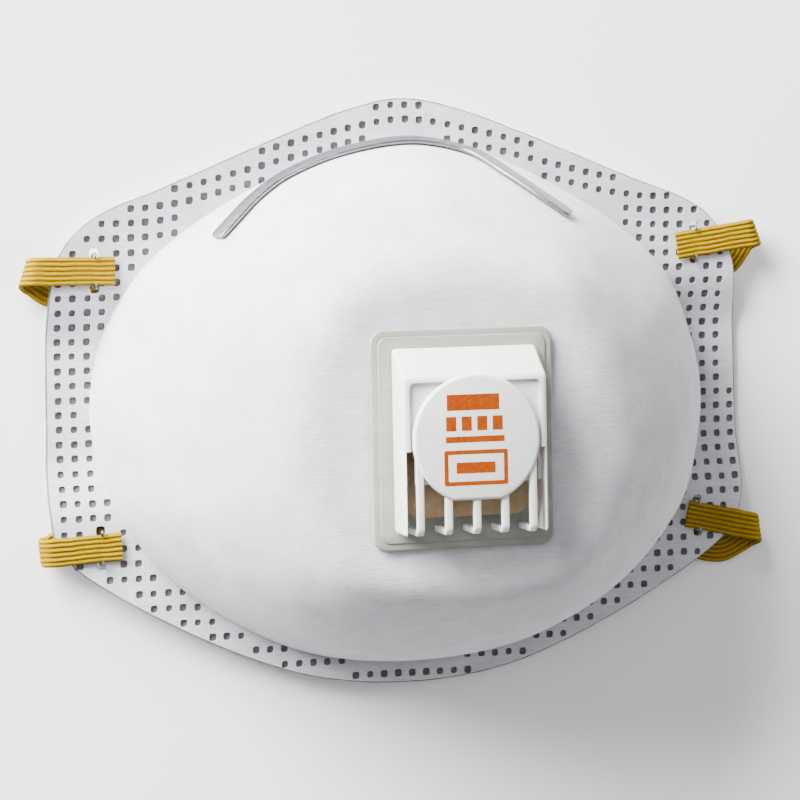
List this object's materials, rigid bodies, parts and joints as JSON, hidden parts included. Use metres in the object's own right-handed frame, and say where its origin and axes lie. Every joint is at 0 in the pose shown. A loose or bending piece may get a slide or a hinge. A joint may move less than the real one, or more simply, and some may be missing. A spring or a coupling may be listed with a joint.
{
  "type": "valved dust mask",
  "caption": "Valved cup-shaped disposable dust mask with an aluminium nose clip and stapled elastic head straps, lying on its rim.",
  "frame": {"origin": "on the surface the mask lies on, under the middle of its rim", "axes": "+Z out of the cup towards the valve, +Y towards the nose, +X towards the wearer's left"},
  "size_m": [0.1493, 0.113, 0.0574],
  "materials": {
    "white_nonwoven": "thermally bonded white nonwoven, fine fibres",
    "filter_web": "soft white melt-blown media",
    "shell_web": "stiff heat-moulded polyester web",
    "nose_metal": "soft annealed strip with a dull rolled sheen",
    "foam": "open-cell polyurethane foam",
    "elastic": "yellow braided elastic with lengthwise ribs",
    "staple_wire": "bright wire",
    "seat_plastic": "translucent natural polypropylene",
    "flap_rubber": "thin tan rubber sheet",
    "cover_plastic": "white moulded polypropylene, satin"
  },
  "bodies": {
    "mask_body": {"outer_cover_web": "white_nonwoven", "filter_media": "filter_web", "moulded_shell": "shell_web", "inner_face_web": "white_nonwoven", "nose_clip": "nose_metal", "nose_foam": "foam", "upper_strap": "elastic", "lower_strap": "elastic", "staple_upper_left": "staple_wire", "staple_upper_right": "staple_wire", "staple_lower_left": "staple_wire", "staple_lower_right": "staple_wire", "valve_seat": "seat_plastic", "valve_cover": "cover_plastic"},
    "exhalation_flap": {"valve_flap": "flap_rubber"}
  },
  "joints": [
    {"name": "flap_hinge", "type": "hinge", "parent": "mask_body", "child": "exhalation_flap", "pos_m": [0, 0.0071, 0.0496], "axis": [-1, 0, 0], "range_deg": [0, 11], "stiffness_Nm_per_rad": 0.0001}
  ]
}
